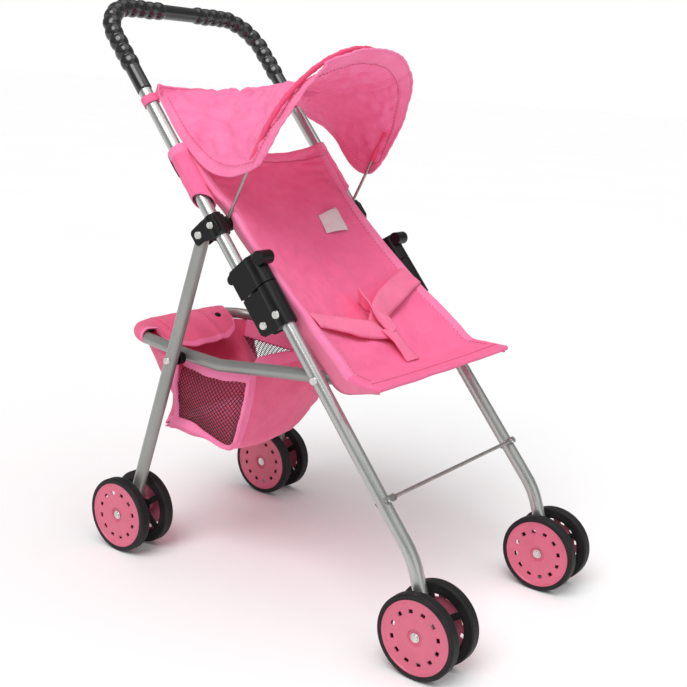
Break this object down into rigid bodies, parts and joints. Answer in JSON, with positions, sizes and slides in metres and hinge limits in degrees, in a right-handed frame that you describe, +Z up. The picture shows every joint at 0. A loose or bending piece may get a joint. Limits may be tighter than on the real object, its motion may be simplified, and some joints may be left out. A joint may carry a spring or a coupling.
{
  "type": "doll stroller",
  "caption": "Folding umbrella-style doll stroller: parallel-tube frame, sling seat with lap belt, arched sun canopy, ribbed handle, mesh-sided basket and paired spoked wheels",
  "frame": {"origin": "middle of the bounding box on the floor under the wheels", "axes": "+Z up, -Y the way the doll faces, +X to the doll's left; the stroller is symmetric about the YZ plane apart from its label and snap"},
  "size_m": [0.265, 0.4678, 0.5392],
  "materials": {
    "frame_tube": "satin silver-grey paint",
    "steel_rivet": "bright zinc plated",
    "steel_wire": "plain drawn wire",
    "black_plastic": "black moulded plastic, satin",
    "grip_plastic": "black ribbed grip, soft sheen",
    "pink_plastic": "pink moulded disc",
    "wheel_rubber": "black foam-rubber tyre and rim",
    "pink_fabric": "plain woven pink cotton",
    "pink_webbing": "pink cotton tape",
    "black_mesh": "black diamond mesh",
    "label_satin": "white satin, blank",
    "hook_tape": "black hook tape"
  },
  "bodies": {
    "front_frame": {"front_leg_right": "frame_tube", "front_leg_left": "frame_tube", "footrest_rod": "steel_wire", "footrest_rivets": "steel_rivet", "hinge_bracket_right": "black_plastic", "hinge_bracket_left": "black_plastic", "bracket_rivets": "steel_rivet", "fold_pivot_rivets": "steel_rivet", "basket_pivot_rivets": "steel_rivet", "seat_front_wire": "steel_wire", "front_axle_right": "steel_rivet", "front_axle_left": "steel_rivet", "seat_base_cover": "pink_fabric", "lap_belt": "pink_webbing", "crotch_strap": "pink_webbing"},
    "handle_frame": {"handle_tube": "frame_tube", "handle_grip": "grip_plastic", "upper_bracket_right": "black_plastic", "upper_bracket_left": "black_plastic", "upper_bracket_rivets": "steel_rivet", "leg_pivot_rivets": "steel_rivet", "seat_back_cover": "pink_fabric", "seat_sleeve_tabs": "hook_tape", "canopy_rear_ties": "pink_fabric", "care_label": "label_satin"},
    "lock_slide_right": {"lock_sleeve_right": "black_plastic"},
    "lock_slide_left": {"lock_sleeve_left": "black_plastic"},
    "canopy_bow": {"canopy_bow_wire": "steel_wire", "canopy_hub_right": "black_plastic", "canopy_hub_left": "black_plastic", "canopy_cover": "pink_fabric"},
    "rear_legs": {"rear_leg_right": "frame_tube", "rear_leg_left": "frame_tube", "leg_spacers": "black_plastic", "leg_link_rivets": "steel_rivet", "rear_axle_right": "steel_rivet", "rear_axle_left": "steel_rivet"},
    "basket_frame": {"basket_bar": "frame_tube", "basket_fabric": "pink_fabric", "basket_mesh_right": "black_mesh", "basket_mesh_left": "black_mesh", "basket_rear_flap": "pink_fabric", "basket_snap": "black_plastic"},
    "wheel_body_front_right_outer": {"wheel_front_right_outer": "wheel_rubber", "wheel_cap_front_right_outer": "pink_plastic"},
    "wheel_body_front_right_inner": {"wheel_front_right_inner": "wheel_rubber", "wheel_cap_front_right_inner": "pink_plastic"},
    "wheel_body_front_left_outer": {"wheel_front_left_outer": "wheel_rubber", "wheel_cap_front_left_outer": "pink_plastic"},
    "wheel_body_front_left_inner": {"wheel_front_left_inner": "wheel_rubber", "wheel_cap_front_left_inner": "pink_plastic"},
    "wheel_body_rear_right_outer": {"wheel_rear_right_outer": "wheel_rubber", "wheel_cap_rear_right_outer": "pink_plastic"},
    "wheel_body_rear_right_inner": {"wheel_rear_right_inner": "wheel_rubber", "wheel_cap_rear_right_inner": "pink_plastic"},
    "wheel_body_rear_left_outer": {"wheel_rear_left_outer": "wheel_rubber", "wheel_cap_rear_left_outer": "pink_plastic"},
    "wheel_body_rear_left_inner": {"wheel_rear_left_inner": "wheel_rubber", "wheel_cap_rear_left_inner": "pink_plastic"}
  },
  "joints": [
    {"name": "fold", "type": "hinge", "parent": "front_frame", "child": "handle_frame", "pos_m": [0, -0.00597, 0.26192], "axis": [-1, 0, 0], "range_deg": [0, 150]},
    {"name": "rear_leg_swing", "type": "hinge", "parent": "handle_frame", "child": "rear_legs", "pos_m": [0, 0.07685, 0.33074], "axis": [1, 0, 0], "range_deg": [0, 97.58]},
    {"name": "basket_swing", "type": "hinge", "parent": "front_frame", "child": "basket_frame", "pos_m": [0, -0.06403, 0.22397], "axis": [-1, 0, 0], "range_deg": [0, 102.69]},
    {"name": "lock_slide_right_travel", "type": "slide", "parent": "handle_frame", "child": "lock_slide_right", "axis": [0.0098, 0.6525, 0.7577], "range_m": [0, 0.025]},
    {"name": "lock_slide_left_travel", "type": "slide", "parent": "handle_frame", "child": "lock_slide_left", "axis": [-0.0098, 0.6525, 0.7577], "range_m": [0, 0.025]},
    {"name": "canopy_fold", "type": "hinge", "parent": "handle_frame", "child": "canopy_bow", "pos_m": [0, 0.06228, 0.34175], "axis": [-1, 0, 0], "range_deg": [0, 45], "deforming": ["canopy_cover"]},
    {"name": "roll_front_right_outer", "type": "hinge", "parent": "front_frame", "child": "wheel_body_front_right_outer", "pos_m": [-0.111, -0.1963, 0.0375], "axis": [1, 0, 0], "continuous": true},
    {"name": "roll_front_right_inner", "type": "hinge", "parent": "front_frame", "child": "wheel_body_front_right_inner", "pos_m": [-0.111, -0.1963, 0.0375], "axis": [1, 0, 0], "continuous": true},
    {"name": "roll_front_left_outer", "type": "hinge", "parent": "front_frame", "child": "wheel_body_front_left_outer", "pos_m": [0.111, -0.1963, 0.0375], "axis": [1, 0, 0], "continuous": true},
    {"name": "roll_front_left_inner", "type": "hinge", "parent": "front_frame", "child": "wheel_body_front_left_inner", "pos_m": [0.111, -0.1963, 0.0375], "axis": [1, 0, 0], "continuous": true},
    {"name": "roll_rear_right_outer", "type": "hinge", "parent": "rear_legs", "child": "wheel_body_rear_right_outer", "pos_m": [-0.111, 0.1596, 0.0375], "axis": [1, 0, 0], "continuous": true},
    {"name": "roll_rear_right_inner", "type": "hinge", "parent": "rear_legs", "child": "wheel_body_rear_right_inner", "pos_m": [-0.111, 0.1596, 0.0375], "axis": [1, 0, 0], "continuous": true},
    {"name": "roll_rear_left_outer", "type": "hinge", "parent": "rear_legs", "child": "wheel_body_rear_left_outer", "pos_m": [0.111, 0.1596, 0.0375], "axis": [1, 0, 0], "continuous": true},
    {"name": "roll_rear_left_inner", "type": "hinge", "parent": "rear_legs", "child": "wheel_body_rear_left_inner", "pos_m": [0.111, 0.1596, 0.0375], "axis": [1, 0, 0], "continuous": true}
  ],
  "couplings": [
    {"joint": "rear_leg_swing", "follows": "fold", "ratio": 0.6505},
    {"joint": "basket_swing", "follows": "fold", "ratio": 0.6846}
  ]
}
